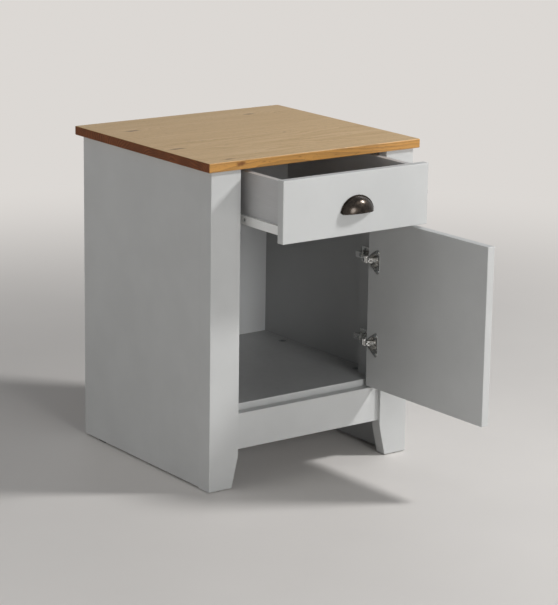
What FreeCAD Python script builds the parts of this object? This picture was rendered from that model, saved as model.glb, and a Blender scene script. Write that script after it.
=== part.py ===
"""Bedside locker with one drawer over one door, modelled as its separate pieces.

Millimetres, +Z up, +X to the right as seen from the front, +Y to the back.
The origin lies on the floor, midway across and midway along the carcass.
The drawer is pulled out and the door stands open.
"""
import FreeCAD, Part
import math
import os
from FreeCAD import Matrix, Vector

# Carcass
carcass_width = 430.0
carcass_depth = 404.0
overall_height = 575.0
side_thickness = 15.0
lining_thickness = 15.0
back_thickness = 3.0
back_inset = 6.0
edge_radius = 0.8

# Top board
top_thickness = 16.0
top_side_overhang = 9.0
top_front_overhang = 7.0
top_back_overhang = 14.0
top_edge_radius = 1.5

# Front legs, L shaped in plan, with a foot that narrows from the inside
leg_width = 60.0
leg_board = 22.0
leg_return = 32.0
foot_taper_height = 57.5
foot_taper = 13.5
foot_curve_radius = 60.0

# Round glides under the front legs
front_glide_height = 1.5
front_glide_radius = 8.5
front_glide_inset = 22.0

# Rear glides under the side panels
glide_height = 3.0
glide_length = 20.0
glide_width = 20.0
glide_edge_inset = 2.0
glide_back_inset = 45.0

# Bottom rail and base shelf
front_recess = 6.0
rail_height = 64.0
rail_top_height = 131.0
shelf_thickness = 15.0
shelf_step = 11.5
shelf_setback = 2.0

# Knock-down fittings of the shelf and the rail
cam_radius = 7.5
cam_depth = 12.0
cam_edge_distance = 18.0
cam_front_distance = 64.0
cam_back_distance = 81.0
cam_slot_width = 1.6
cam_slot_depth = 2.0
cam_bolt_radius = 3.0
cam_bolt_bite = 11.0
dowel_radius = 4.0
dowel_bite = 15.0
dowel_edge_distance = 16.0

# Blocks that hold the top board
block_size = 28.0
block_length = 30.0
block_end_distance = 10.0
block_screw_shares = (1 / 3, 2 / 3)

# Drawer front and door
front_gap = 2.0
front_thickness = 15.0
front_edge_radius = 1.0
drawer_top_gap = 2.0
drawer_front_height = 106.0
door_top_gap = 6.5
door_bottom_gap = 2.5

# Drawer box
drawer_pull = 123.0
drawer_tail = 20.0
drawer_side_thickness = 12.0
drawer_side_drop = 5.0
drawer_side_rise = 11.5
drawer_back_thickness = 12.0
drawer_bottom_thickness = 3.0
drawer_bottom_rise = 5.0
drawer_edge_radius = 0.8
groove_depth = 5.0
drawer_dowel_radius = 3.0
drawer_dowel_bite = 10.0
drawer_joint_inset = 20.0

# Roller runners
runner_space = 12.5
runner_gauge = 1.2
runner_length = 350.0
runner_setback = 3.0
runner_web_height = 17.0
runner_track_width = 6.0
runner_ledge_width = 10.0
runner_hole_radius = 3.0
runner_hole_depth = 6.0
runner_hole_setback = 107.5
runner_hole_spacing = 180.0
channel_depth = 9.0
channel_lip = 5.5
packer_margin = 4.0
packer_end_gap = 3.0
channel_screw_inset = 30.0
ledge_screw_inset = 54.0
roller_radius = 7.0
roller_width = 5.0
roller_edge_radius = 0.8
roller_drop = 2.5
roller_end_distance = 10.0
roller_web_gap = 0.3
rear_roller_wall_gap = 2.5
axle_radius = 2.0
axle_collar_radius = 3.5

# Cup hinges
hinge_spacing = 151.0
hinge_axis_inset = 9.3
hinge_axis_setback = 7.7
door_angle = 91.5
cup_radius = 13.0
cup_depth = 11.0
cup_wall = 1.0
cup_edge_distance = 3.5
cup_flange_rim = 0.8
cup_flange_thickness = 1.0
cup_ear_radius = 4.8
cup_screw_spacing = 34.0
cup_screw_offset = 9.0
lug_start = 7.5
lug_length = 7.0
lug_thickness = 1.5
link_width = 8.0
link_eye_radius = 2.4
link_tip_radius = 1.2
link_tip_along = 10.4
link_tip_depth = 1.7
link_bend_inset = 27.1
link_bend_setback = 6.3
link_slot = 3.2
hinge_side_play = 0.3
nose_inset = 25.5
nose_setback = 16.4
nose_margin = 2.6
arm_gauge = 1.0
arm_rear_setback = 64.0
arm_heel_setback = 38.0
arm_bend_setback = 45.0
arm_foot_height = 6.0
arm_back_height = 13.0
hinge_pin_radius = 1.5
hinge_pin_head_radius = 2.4
hinge_pin_head_height = 0.6
plate_thickness = 2.0
plate_height = 28.0
plate_width = 20.0
plate_screw_spacing = 18.0
saddle_length = 28.0
arm_screw_length = 8.0
cleat_margin = 2.0

# Cup handle on the drawer front
handle_width = 70.0
handle_height = 31.0
handle_projection = 18.0
handle_lip_rise = 2.5
handle_corner = 6.0
handle_rim = 2.0
handle_rim_thickness = 1.6
handle_wall = 1.6
handle_drop = 1.0
handle_screw_spacing = 46.0
handle_screw_rise = 12.0
handle_boss_radius = 3.6
handle_screw_bite = 7.0

# Round knob on the door
knob_edge_distance = 45.0
knob_radius = 12.5
knob_projection = 20.0
knob_foot_radius = 7.5
knob_neck_radius = 5.0
knob_neck_height = 8.0
knob_foot_height = 2.5
knob_crown = 4.0
knob_rim = 2.5
knob_stud_radius = 2.5
knob_stud_bite = 10.0

# Screws and pins
screw_radius = 1.75
screw_head_radius = 3.5
screw_head_height = 1.0
screw_length = 14.0
top_screw_bite = 10.0
machine_screw_radius = 2.0
machine_head_radius = 4.0
machine_head_height = 2.2
panel_pin_radius = 0.8
panel_pin_head_radius = 2.0
panel_pin_head_height = 0.8
panel_pin_length = 15.0
panel_pin_count = 4
panel_pin_inset = 14.0
shelf_pin_count = 3
shelf_pin_inset = 28.0

# Clearances
fit_play = 0.1
running_play = 0.05
roller_play = 0.3
groove_play = 0.2
overrun = 2.0

# Places that follow from the sizes, all for the left half
x_out = -carcass_width / 2
x_side = x_out + side_thickness
x_wall = x_side + lining_thickness
x_leg = x_out + leg_width
y_front = -carcass_depth / 2
y_board = y_front + leg_board
y_shelf = y_board + shelf_setback
y_rear = carcass_depth / 2
y_back_out = y_rear - back_inset
y_back = y_back_out - back_thickness
y_face = y_front + front_recess
y_inner = y_face + front_thickness
z_board = overall_height - top_thickness
z_rail = rail_top_height - rail_height
z_shelf_top = rail_top_height + shelf_step
z_shelf = z_shelf_top - shelf_thickness
z_shelf_mid = z_shelf + shelf_thickness / 2

# Drawer front and door outlines
front_half = -x_leg - front_gap
z_drawer_top = z_board - drawer_top_gap
z_drawer = z_drawer_top - drawer_front_height
z_door_top = z_drawer - door_top_gap
z_door = rail_top_height + door_bottom_gap

# Drawer box in its pulled-out place
y_drawer_face = y_face - drawer_pull
y_drawer = y_drawer_face + front_thickness
y_drawer_end = y_drawer + runner_length + drawer_tail
x_drawer = x_leg + runner_space
x_drawer_in = x_drawer + drawer_side_thickness
z_drawer_side = z_drawer + drawer_side_rise
z_drawer_side_top = z_drawer_top - drawer_side_drop
z_bottom = z_drawer_side + drawer_bottom_rise
z_bottom_top = z_bottom + drawer_bottom_thickness

# Runner levels
z_web = z_drawer_side - runner_gauge
z_track = z_web + runner_web_height - runner_gauge
z_front_roller = z_track - roller_play - roller_radius
z_rear_roller = z_front_roller - roller_drop
z_channel_floor = z_rear_roller - roller_radius - roller_play
z_channel = z_channel_floor - runner_gauge
z_channel_roof = z_rear_roller + roller_radius + roller_play
z_channel_top = z_channel_roof + runner_gauge
z_packer = z_channel - packer_margin
z_packer_top = z_channel_top + packer_margin
y_channel = y_board + runner_setback
y_front_roller = y_channel + roller_end_distance
y_drawer_runner_end = y_drawer + runner_length
y_rear_roller = y_drawer_runner_end - roller_end_distance

# Hinge places on the right
x_hinge_side = -x_leg
x_axis = x_hinge_side - hinge_axis_inset
y_axis = y_front + hinge_axis_setback
x_door_edge = x_hinge_side - front_gap
x_cup = x_door_edge - cup_edge_distance - cup_radius
x_nose = x_hinge_side - nose_inset
y_nose = y_front + nose_setback
y_arm_rear = y_front + arm_rear_setback
z_door_mid = (z_door + z_door_top) / 2
z_hinges = (z_door_mid - hinge_spacing / 2, z_door_mid + hinge_spacing / 2)
hinge_names = ("lower", "upper")

X_AXIS = Vector(1, 0, 0)
Y_AXIS = Vector(0, 1, 0)
Z_AXIS = Vector(0, 0, 1)


def box(x0, x1, y0, y1, z0, z1):
    """Block between two opposite corners."""
    return Part.makeBox(x1 - x0, y1 - y0, z1 - z0, Vector(x0, y0, z0))


def rod(radius, start, end):
    """Round bar from one point to another."""
    run = end - start
    return Part.makeCylinder(radius, run.Length, start, run)


def prism(points, run):
    """Flat outline carried along a straight run."""
    return Part.Face(Part.makePolygon(points + points[:1])).extrude(run)


def strap(circles, run):
    """Plate drawn tight round circles, given in turn with their radii, and carried along a straight run."""
    normal = Vector(run).normalize()
    sides = []
    for (start, wide), (end, narrow) in zip(circles, circles[1:] + circles[:1]):
        lean = (wide - narrow) / start.distanceToPoint(end)
        along = Vector(end - start).normalize()
        out = along * lean + along.cross(normal) * math.sqrt(1 - lean ** 2)
        sides.append((out, start + out * wide, end + out * narrow))
    edges = []
    for index, (out, start, end) in enumerate(sides):
        after = (index + 1) % len(sides)
        centre, radius = circles[after]
        next_out, next_start = sides[after][:2]
        ahead = Vector(end - start).normalize()
        half_turn = math.atan2(next_out.dot(ahead), next_out.dot(out)) % (2 * math.pi) / 2
        bulge = centre + (out * math.cos(half_turn) + ahead * math.sin(half_turn)) * radius
        edges += [Part.LineSegment(start, end).toShape(), Part.Arc(end, bulge, next_start).toShape()]
    return Part.Face(Part.Wire(edges)).extrude(run)


def joined(shapes):
    """One solid from pieces that touch or overlap, with its flush faces made whole."""
    whole = shapes[0].fuse(shapes[1:])
    return whole.removeSplitter()


def mirrored(shape):
    """The same piece on the other side of the locker."""
    return shape.mirror(Vector(0, 0, 0), X_AXIS)


def pair(shape):
    """A piece with its twin on the other side."""
    return [shape, mirrored(shape)]


def eased(shape, radius, wanted):
    """Round the edges that a test picks out."""
    return shape.makeFillet(radius, [edge for edge in shape.Edges if wanted(edge)])


def on_plane(axis, place):
    """Test for edges that lie in a plane square to an axis, named by its index."""
    def test(edge):
        low, high = edge.BoundBox.getPoint(0), edge.BoundBox.getPoint(6)
        return max(abs(low[axis] - place), abs(high[axis] - place)) < fit_play
    return test


def spread(count, start, end):
    """Evenly spaced places from start to end."""
    return [start + (end - start) * index / (count - 1) for index in range(count)]


def headed(seat, inward, radius, length, head_radius, head_height):
    """Screw or pin whose head stands on its seat and whose shank runs inward."""
    way = Vector(inward).normalize()
    head = rod(head_radius, seat - way * head_height, seat)
    return joined([head, rod(radius, seat, seat + way * length)])


def wood_screw(seat, inward, length=screw_length):
    """Pan-head wood screw."""
    return headed(seat, inward, screw_radius, length, screw_head_radius, screw_head_height)


def bore(seat, inward, radius, length):
    """Cutter for the hole that a shank of that radius and length needs."""
    way = Vector(inward).normalize()
    return rod(radius + fit_play, seat - way * overrun, seat + way * (length + fit_play))


def scaled_ball(size_x, size_y, size_z):
    """Ellipsoid about the origin from its three half sizes."""
    stretch = Matrix()
    stretch.scale(size_x, size_y, size_z)
    return Part.makeSphere(1).transformGeometry(stretch)


def scaled_disc(size_x, size_z, thickness):
    """Elliptical plate that stands upright, with the middle of its back at the origin."""
    stretch = Matrix()
    stretch.scale(size_x, thickness, size_z)
    return Part.makeCylinder(1, 1, Vector(0, 0, 0), -Y_AXIS).transformGeometry(stretch)


def swung(shape):
    """Turn a piece of the closed door to where the door stands."""
    turned = shape.copy()
    turned.rotate(Vector(x_axis, y_axis, 0), Z_AXIS, door_angle)
    return turned


def save(name, *shapes):
    """Write a node: one solid, or a group of like ones."""
    shape = shapes[0] if len(shapes) == 1 else Part.makeCompound(shapes)
    shape.exportStep("parts/" + name + ".step")


# Fastener places
cam_rows = (y_board + cam_front_distance, y_back - cam_back_distance)
rail_dowel_heights = (z_rail + dowel_edge_distance, rail_top_height - dowel_edge_distance)
rail_mid = (y_face + y_board) / 2
lining_mid = (x_side + x_wall) / 2
side_pin_heights = spread(panel_pin_count, z_shelf_mid + panel_pin_inset, z_board - panel_pin_inset)
shelf_pin_places = spread(shelf_pin_count, x_wall + shelf_pin_inset, -x_wall - shelf_pin_inset)
block_starts = (y_board + block_end_distance, y_back - block_end_distance - block_length)
block_mid = x_wall + block_size / 2
block_bottom = z_board - block_size
channel_screw_rows = (y_channel + channel_screw_inset, y_channel + runner_length - channel_screw_inset)
channel_mid = (z_channel_floor + z_channel_roof) / 2


def cam_cutters():
    """Left-hand holes for the shelf's cams and their bolts."""
    cutters = []
    for y in cam_rows:
        centre = Vector(x_wall + cam_edge_distance, y, z_shelf_top)
        cutters.append(bore(centre, -Z_AXIS, cam_radius, cam_depth))
        tail = Vector(x_wall - cam_bolt_bite - fit_play, y, z_shelf_mid)
        cutters.append(rod(cam_bolt_radius + fit_play, tail, Vector(centre.x, y, z_shelf_mid)))
    return cutters


def back_pin_seats():
    """Seats of the left-hand pins that go into the lining."""
    return [Vector(lining_mid, y_back_out, z) for z in side_pin_heights]


def shelf_pin_seats():
    """Seats of the pins that go into the shelf."""
    return [Vector(x, y_back_out, z_shelf_mid) for x in shelf_pin_places]


def panel_pin(seat):
    """Round-head pin driven forward through the back panel."""
    return headed(seat, -Y_AXIS, panel_pin_radius, panel_pin_length,
                  panel_pin_head_radius, panel_pin_head_height)


def panel_pin_bore(seat):
    """Cutter for one panel pin."""
    return bore(seat, -Y_AXIS, panel_pin_radius, panel_pin_length)


def block_screw_seats():
    """Seats of the screws that go sideways through each block into the lining."""
    face = x_wall + block_size
    along = block_length * block_screw_shares[0]
    return [Vector(face, start + along, block_bottom + block_size / 2) for start in block_starts]


def top_screw_seats():
    """Seats of the screws that go up through each block into the top board."""
    along = block_length * block_screw_shares[1]
    return [Vector(block_mid, start + along, block_bottom) for start in block_starts]


def make_top():
    """Solid wood board with eased edges."""
    board = box(x_out - top_side_overhang, -x_out + top_side_overhang, y_front - top_front_overhang,
                y_rear + top_back_overhang, z_board, overall_height)
    board = board.makeFillet(top_edge_radius, board.Edges)
    for seat in top_screw_seats():
        for cutter in pair(bore(seat, Z_AXIS, screw_radius, block_size + top_screw_bite)):
            board = board.cut(cutter)
    save("top_board", board)


def make_sides():
    """Outer side panels, butted against the legs' returns."""
    panel = box(x_out, x_side, y_front + leg_return, y_rear, glide_height, z_board)
    panel = eased(panel, edge_radius, on_plane(0, x_out))
    save("left_side_panel", panel)
    save("right_side_panel", mirrored(panel))


def make_linings():
    """Inner sides, which carry the shelf, the blocks and the packers."""
    lining = box(x_side, x_wall, y_board, y_back, glide_height, z_board)
    for seat in back_pin_seats():
        lining = lining.cut(panel_pin_bore(seat))
    for cutter in cam_cutters():
        lining = lining.cut(cutter)
    for seat in block_screw_seats():
        lining = lining.cut(bore(seat, -X_AXIS, screw_radius, block_size + screw_length))
    save("left_inner_side", lining)
    save("right_inner_side", mirrored(lining))


def make_legs():
    """L-shaped front legs, each cut for the rail's dowels."""
    slope = math.atan2(foot_taper, foot_taper_height)
    tangent = foot_curve_radius * math.tan(slope / 2)
    curve_top = Vector(x_leg, y_front, foot_taper_height + tangent)
    curve_end = Vector(x_leg - tangent * math.sin(slope), y_front,
                       foot_taper_height - tangent * math.cos(slope))
    centre = curve_top - X_AXIS * foot_curve_radius
    curve_mid = centre + Vector(math.cos(slope / 2), 0, -math.sin(slope / 2)) * foot_curve_radius
    toe = x_leg - foot_taper * (1 - front_glide_height / foot_taper_height)
    corners = [Vector(toe, y_front, front_glide_height), Vector(x_out, y_front, front_glide_height),
               Vector(x_out, y_front, z_board), Vector(x_leg, y_front, z_board)]
    edges = [Part.LineSegment(a, b).toShape() for a, b in zip([curve_end] + corners, corners + [curve_top])]
    edges.append(Part.Arc(curve_top, curve_mid, curve_end).toShape())
    front = Part.Face(Part.Wire(edges)).extrude(Y_AXIS * leg_board)
    corner_post = box(x_out, x_side, y_board, y_front + leg_return, front_glide_height, z_board)
    leg = eased(joined([front, corner_post]), edge_radius, on_plane(1, y_front))
    for height in rail_dowel_heights:
        leg = leg.cut(rod(dowel_radius + fit_play, Vector(x_leg - dowel_bite - fit_play, rail_mid, height),
                          Vector(x_leg + overrun, rail_mid, height)))
    save("left_front_leg", leg)
    save("right_front_leg", mirrored(leg))


def make_rail():
    """Bottom rail between the legs, with the dowels that hold it."""
    rail = box(x_leg, -x_leg, y_face, y_board, z_rail, rail_top_height)
    long_edge = on_plane(1, y_face)
    rail = eased(rail, edge_radius, lambda edge: long_edge(edge) and edge.Length > rail_height)
    dowels = []
    for height in rail_dowel_heights:
        start = Vector(x_leg - dowel_bite, rail_mid, height)
        end = Vector(x_leg + dowel_bite, rail_mid, height)
        dowels += pair(rod(dowel_radius, start, end))
        hole = rod(dowel_radius + fit_play, start, end + X_AXIS * fit_play)
        for cutter in pair(hole):
            rail = rail.cut(cutter)
    save("bottom_rail", rail)
    save("rail_dowels", *dowels)


def make_shelf():
    """Base shelf, its cams with their slots, and the bolts that the cams pull on."""
    shelf = box(x_wall, -x_wall, y_shelf, y_back, z_shelf, z_shelf_top)
    cams = []
    bolts = []
    for cutter in cam_cutters():
        for side in pair(cutter):
            shelf = shelf.cut(side)
    for seat in shelf_pin_seats():
        shelf = shelf.cut(panel_pin_bore(seat))
    for y in cam_rows:
        top = Vector(x_wall + cam_edge_distance, y, z_shelf_top)
        cam = rod(cam_radius, top - Z_AXIS * cam_depth, top)
        for reach_x, reach_y in ((cam_radius / 2, cam_slot_width / 2), (cam_slot_width / 2, cam_radius / 2)):
            cam = cam.cut(box(top.x - reach_x, top.x + reach_x, y - reach_y, y + reach_y,
                              z_shelf_top - cam_slot_depth, z_shelf_top + overrun))
        cams += pair(cam)
        tip = Vector(top.x - cam_radius - fit_play, y, z_shelf_mid)
        bolts += pair(rod(cam_bolt_radius, Vector(x_wall - cam_bolt_bite, y, z_shelf_mid), tip))
    save("base_shelf", shelf)
    save("cam_locks", *cams)
    save("cam_bolts", *bolts)


def make_back():
    """Thin back panel, pinned to the linings and the shelf."""
    panel = box(x_side, -x_side, y_back, y_back_out, z_shelf, z_board)
    seats = shelf_pin_seats()
    for seat in back_pin_seats():
        seats += [seat, Vector(-seat.x, seat.y, seat.z)]
    for seat in seats:
        panel = panel.cut(panel_pin_bore(seat))
    save("back_panel", panel)
    save("back_panel_pins", *[panel_pin(seat) for seat in seats])


def make_glides():
    """Flat glides under the back of each side and round ones under the legs."""
    start = y_rear - glide_back_inset - glide_length
    glide = box(x_out + glide_edge_inset, x_out + glide_edge_inset + glide_width, start, start + glide_length,
                0, glide_height)
    glide = eased(glide, edge_radius, on_plane(2, 0))
    save("rear_glides", *pair(glide))
    foot = Vector(x_out + front_glide_inset, y_front + leg_board / 2, 0)
    disc = rod(front_glide_radius, foot, foot + Z_AXIS * front_glide_height)
    save("front_glides", *pair(eased(disc, front_glide_height / 3, on_plane(2, 0))))


def make_top_blocks():
    """Blocks in the upper corners, screwed to the lining and to the top board."""
    blocks = []
    up_screws = []
    side_screws = []
    for start, side_seat, top_seat in zip(block_starts, block_screw_seats(), top_screw_seats()):
        block = box(x_wall, x_wall + block_size, start, start + block_length, block_bottom, z_board)
        block = block.cut(bore(side_seat, -X_AXIS, screw_radius, block_size + overrun))
        block = block.cut(bore(top_seat, Z_AXIS, screw_radius, block_size + overrun))
        blocks += pair(block)
        up_screws += pair(wood_screw(top_seat, Z_AXIS, block_size + top_screw_bite))
        side_screws += pair(wood_screw(side_seat, -X_AXIS, block_size + screw_length - overrun))
    save("top_blocks", *blocks)
    save("top_screws", *up_screws)
    save("block_screws", *side_screws)


def make_packers():
    """Battens that bring the runners out to the legs' inner edges."""
    packer = box(x_wall, x_leg, y_board, y_back - packer_end_gap, z_packer, z_packer_top)
    for y in channel_screw_rows:
        packer = packer.cut(bore(Vector(x_leg, y, channel_mid), -X_AXIS, screw_radius, screw_length))
    save("left_runner_packer", packer)
    save("right_runner_packer", mirrored(packer))


def make_cabinet_runners():
    """Fixed channels on the packers, each with a roller at its front."""
    end = y_channel + runner_length
    web = box(x_leg, x_leg + runner_gauge, y_channel, end, z_channel, z_channel_top)
    floor = box(x_leg, x_leg + channel_depth, y_channel, end, z_channel, z_channel_floor)
    roof = box(x_leg, x_leg + channel_lip, y_channel, end, z_channel_roof, z_channel_top)
    channel = joined([web, floor, roof])
    screws = []
    for y in channel_screw_rows:
        seat = Vector(x_leg + runner_gauge, y, channel_mid)
        channel = channel.cut(bore(seat, -X_AXIS, screw_radius, screw_length))
        screws += pair(wood_screw(seat, -X_AXIS))
    save("left_cabinet_runner", channel)
    save("right_cabinet_runner", mirrored(channel))
    save("cabinet_runner_screws", *screws)
    roller_end = x_drawer - runner_gauge - roller_web_gap
    collar_end = roller_end - roller_width - roller_play
    centre = Vector(x_leg + runner_gauge, y_front_roller, z_front_roller)
    make_rollers("front", centre, collar_end, roller_end)


def make_rollers(name, foot, collar_end, roller_end):
    """Rollers and axles on both sides: an axle from its foot, a collar, then the roller."""
    collar = rod(axle_collar_radius, foot, Vector(collar_end, foot.y, foot.z))
    tip = Vector(roller_end, foot.y, foot.z)
    way = X_AXIS if roller_end > foot.x else -X_AXIS
    axle = joined([collar, rod(axle_radius, foot, tip)])
    roller = rod(roller_radius, tip - way * roller_width, tip)
    roller = eased(roller, roller_edge_radius, lambda edge: len(edge.Vertexes) == 1)
    roller = roller.cut(bore(tip, -way, axle_radius + running_play - fit_play, roller_width + overrun))
    save("left_" + name + "_roller", roller)
    save("right_" + name + "_roller", mirrored(roller))
    save(name + "_roller_axles", *pair(axle))


def make_drawer_front():
    """Drawer front with its groove, dowel holes and handle holes."""
    front = box(-front_half, front_half, y_drawer_face, y_drawer, z_drawer, z_drawer_top)
    front = front.makeFillet(front_edge_radius, front.Edges)
    front = front.cut(box(x_drawer_in - groove_depth, -x_drawer_in + groove_depth, y_drawer - groove_depth,
                          y_drawer + overrun, z_bottom, z_bottom_top + groove_play))
    for cutter in drawer_dowels(fit_play):
        front = front.cut(cutter)
    for seat in handle_screw_seats():
        front = front.cut(bore(seat, -Y_AXIS, machine_screw_radius, front_thickness + overrun))
    save("drawer_front", front)


def drawer_dowels(play):
    """Dowels between the drawer's front and sides, or with some play their holes."""
    middle = x_drawer + drawer_side_thickness / 2
    dowels = []
    for z in (z_bottom_top + drawer_joint_inset, z_drawer_side_top - drawer_joint_inset):
        start = Vector(middle, y_drawer - drawer_dowel_bite - play, z)
        end = Vector(middle, y_drawer + drawer_dowel_bite + play, z)
        dowels += pair(rod(drawer_dowel_radius + play, start, end))
    return dowels


def drawer_back_screw_seats():
    """Seats of the screws that go through the left side into the drawer's back."""
    y = y_drawer_end - drawer_back_thickness / 2
    heights = (z_bottom_top + drawer_joint_inset, z_drawer_side_top - drawer_joint_inset)
    return [Vector(x_drawer, y, z) for z in heights]


def runner_screw_seats():
    """Seats of the screws that go up through the runner's ledge into the drawer side."""
    middle = x_drawer + (drawer_side_thickness - groove_depth) / 2
    rows = (y_drawer + ledge_screw_inset, y_drawer_runner_end - ledge_screw_inset)
    return [Vector(middle, y, z_web) for y in rows]


def make_drawer_box():
    """Sides, back and grooved-in bottom of the drawer."""
    side = box(x_drawer, x_drawer_in, y_drawer, y_drawer_end, z_drawer_side, z_drawer_side_top)
    side = eased(side, drawer_edge_radius, on_plane(2, z_drawer_side_top))
    side = side.cut(box(x_drawer_in - groove_depth, x_drawer_in + overrun, y_drawer - overrun,
                        y_drawer_end + overrun, z_bottom, z_bottom_top + groove_play))
    for cutter in drawer_dowels(fit_play):
        side = side.cut(cutter)
    back = box(x_drawer_in, -x_drawer_in, y_drawer_end - drawer_back_thickness, y_drawer_end,
               z_bottom_top, z_drawer_side_top)
    screws = []
    for seat in drawer_back_screw_seats():
        hole = bore(seat, X_AXIS, screw_radius, drawer_side_thickness + screw_length)
        side = side.cut(hole)
        for cutter in pair(hole):
            back = back.cut(cutter)
        screws += pair(wood_screw(seat, X_AXIS, drawer_side_thickness + screw_length))
    for seat in runner_screw_seats():
        side = side.cut(bore(seat, Z_AXIS, screw_radius, screw_length))
    reach = -x_drawer_in + groove_depth - groove_play
    bottom = box(-reach, reach, y_drawer - groove_depth + groove_play, y_drawer_end, z_bottom, z_bottom_top)
    for seat in runner_hole_seats():
        side = side.cut(rod(runner_hole_radius, seat - X_AXIS * overrun, seat + X_AXIS * runner_hole_depth))
    save("drawer_left_side", side)
    save("drawer_right_side", mirrored(side))
    save("drawer_back", back)
    save("drawer_bottom", bottom)
    save("drawer_dowels", *drawer_dowels(0))
    save("drawer_back_screws", *screws)


def runner_hole_seats():
    """Centres of the holes through a runner's web, on the drawer's left side."""
    z = (z_drawer_side + z_track) / 2
    return [Vector(x_drawer, y_drawer + setback, z)
            for setback in (runner_hole_setback, runner_hole_setback + runner_hole_spacing)]


def make_drawer_runners():
    """Runners under the drawer sides, each with a roller at its back."""
    outer = x_drawer - runner_gauge
    web_top = z_track + runner_gauge
    web = box(outer, x_drawer, y_drawer, y_drawer_runner_end, z_web, web_top)
    ledge = box(outer, outer + runner_ledge_width, y_drawer, y_drawer_runner_end, z_web, z_drawer_side)
    track = box(x_drawer - runner_track_width, x_drawer, y_drawer, y_drawer_runner_end, z_track, web_top)
    runner = joined([web, ledge, track])
    for seat in runner_hole_seats():
        runner = runner.cut(rod(runner_hole_radius, seat - X_AXIS * (runner_gauge + overrun), seat + X_AXIS * overrun))
    screws = []
    for seat in runner_screw_seats():
        runner = runner.cut(bore(seat, Z_AXIS, screw_radius, screw_length))
        screws += pair(wood_screw(seat, Z_AXIS, screw_length - overrun))
    save("left_drawer_runner", runner)
    save("right_drawer_runner", mirrored(runner))
    save("drawer_runner_screws", *screws)
    roller_end = x_leg + rear_roller_wall_gap
    collar_end = roller_end + roller_width + roller_play
    make_rollers("rear", Vector(outer, y_rear_roller, z_rear_roller), collar_end, roller_end)


# Height of the cup handle's open lower edge
z_handle = (z_drawer + z_drawer_top) / 2 - handle_height / 2 - handle_drop


def handle_screw_seats():
    """Seats of the handle's screws on the inside of the drawer front."""
    z = z_handle + handle_screw_rise
    return [Vector(x, y_drawer, z) for x in (-handle_screw_spacing / 2, handle_screw_spacing / 2)]


def make_handle():
    """Half-dome cup handle, open below, with a thin rim and two screw bosses.

    It is shaped with the middle of its open lower edge at the origin, then set on the drawer front.
    """
    place = Vector(0, y_drawer_face, z_handle)
    half = handle_width / 2
    dome_half = half - handle_rim
    dome_height = handle_height - handle_rim
    outer = scaled_ball(dome_half, handle_projection, dome_height)
    inner = scaled_ball(dome_half - handle_wall, handle_projection - handle_wall, dome_height - handle_wall)
    rim = scaled_disc(half, handle_height, handle_rim_thickness)
    reach = handle_projection + overrun
    keep = eased(box(-half, half, -reach, 0, 0, handle_height + overrun), handle_corner,
                 lambda edge: on_plane(2, 0)(edge) and abs(edge.Length - reach) < fit_play)
    under_lip = prism([Vector(-half, 0, 0), Vector(-half, -reach, 0), Vector(-half, -reach, handle_lip_rise)],
                      X_AXIS * handle_width)
    shell = outer.fuse(rim).cut(inner).common(keep).cut(under_lip)
    length = front_thickness + handle_screw_bite
    seats = [seat - place for seat in handle_screw_seats()]
    for seat in seats:
        foot = Vector(seat.x, 0, seat.z)
        post = rod(handle_boss_radius, foot, foot - Y_AXIS * handle_projection).common(outer)
        shell = shell.fuse(post)
    for seat in seats:
        shell = shell.cut(bore(seat, -Y_AXIS, machine_screw_radius, length))
    shell = shell.removeSplitter()
    shell.translate(place)
    screws = [headed(seat, -Y_AXIS, machine_screw_radius, length, machine_head_radius, machine_head_height)
              for seat in handle_screw_seats()]
    save("cup_handle", shell)
    save("handle_screws", *screws)


# Knob centre on the closed door's outer face
knob_seat = Vector(-front_half + knob_edge_distance, y_face, z_door_mid)


def make_door():
    """Door panel bored for its hinge cups and its knob, swung open."""
    door = box(-front_half, front_half, y_face, y_inner, z_door, z_door_top)
    door = door.makeFillet(front_edge_radius, door.Edges)
    for z in z_hinges:
        door = door.cut(bore(Vector(x_cup, y_inner, z), -Y_AXIS, cup_radius, cup_depth))
        for seat in cup_screw_seats(z):
            door = door.cut(bore(seat, -Y_AXIS, screw_radius, cup_depth))
    door = door.cut(bore(knob_seat, Y_AXIS, knob_stud_radius, knob_stud_bite))
    save("door_panel", swung(door))


def make_knob():
    """Turned knob on a plain stud."""
    shoulder = knob_projection - knob_crown
    steps = [(0, 0), (knob_foot_radius, 0), (knob_foot_radius, knob_foot_height),
             (knob_neck_radius, knob_neck_height), (knob_radius, shoulder - knob_rim),
             (knob_radius, shoulder)]
    outline = [Vector(radius, 0, height) for radius, height in steps]
    crown = Vector(0, 0, knob_projection)
    crown_radius = (knob_radius ** 2 + knob_crown ** 2) / knob_crown / 2
    half_turn = math.asin(knob_radius / crown_radius) / 2
    bulge = crown + Vector(math.sin(half_turn), 0, math.cos(half_turn) - 1) * crown_radius
    edges = [Part.LineSegment(a, b).toShape() for a, b in zip(outline, outline[1:])]
    edges.append(Part.Arc(outline[-1], bulge, crown).toShape())
    edges.append(Part.LineSegment(crown, outline[0]).toShape())
    knob = Part.Face(Part.Wire(edges)).revolve(Vector(0, 0, 0), Z_AXIS, 360)
    knob = knob.cut(rod(knob_stud_radius + fit_play, Vector(0, 0, -overrun), Vector(0, 0, knob_neck_height)))
    knob.rotate(Vector(0, 0, 0), X_AXIS, 90)
    knob.translate(knob_seat)
    stud = rod(knob_stud_radius, knob_seat - Y_AXIS * (knob_neck_height - fit_play),
               knob_seat + Y_AXIS * knob_stud_bite)
    save("door_knob", swung(knob))
    save("knob_stud", swung(stud))


def cup_screw_seats(z):
    """Screw seats on the closed door's inner face, beside one cup."""
    return [Vector(x_cup - cup_screw_offset, y_inner, z + way * cup_screw_spacing / 2) for way in (-1, 1)]


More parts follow.
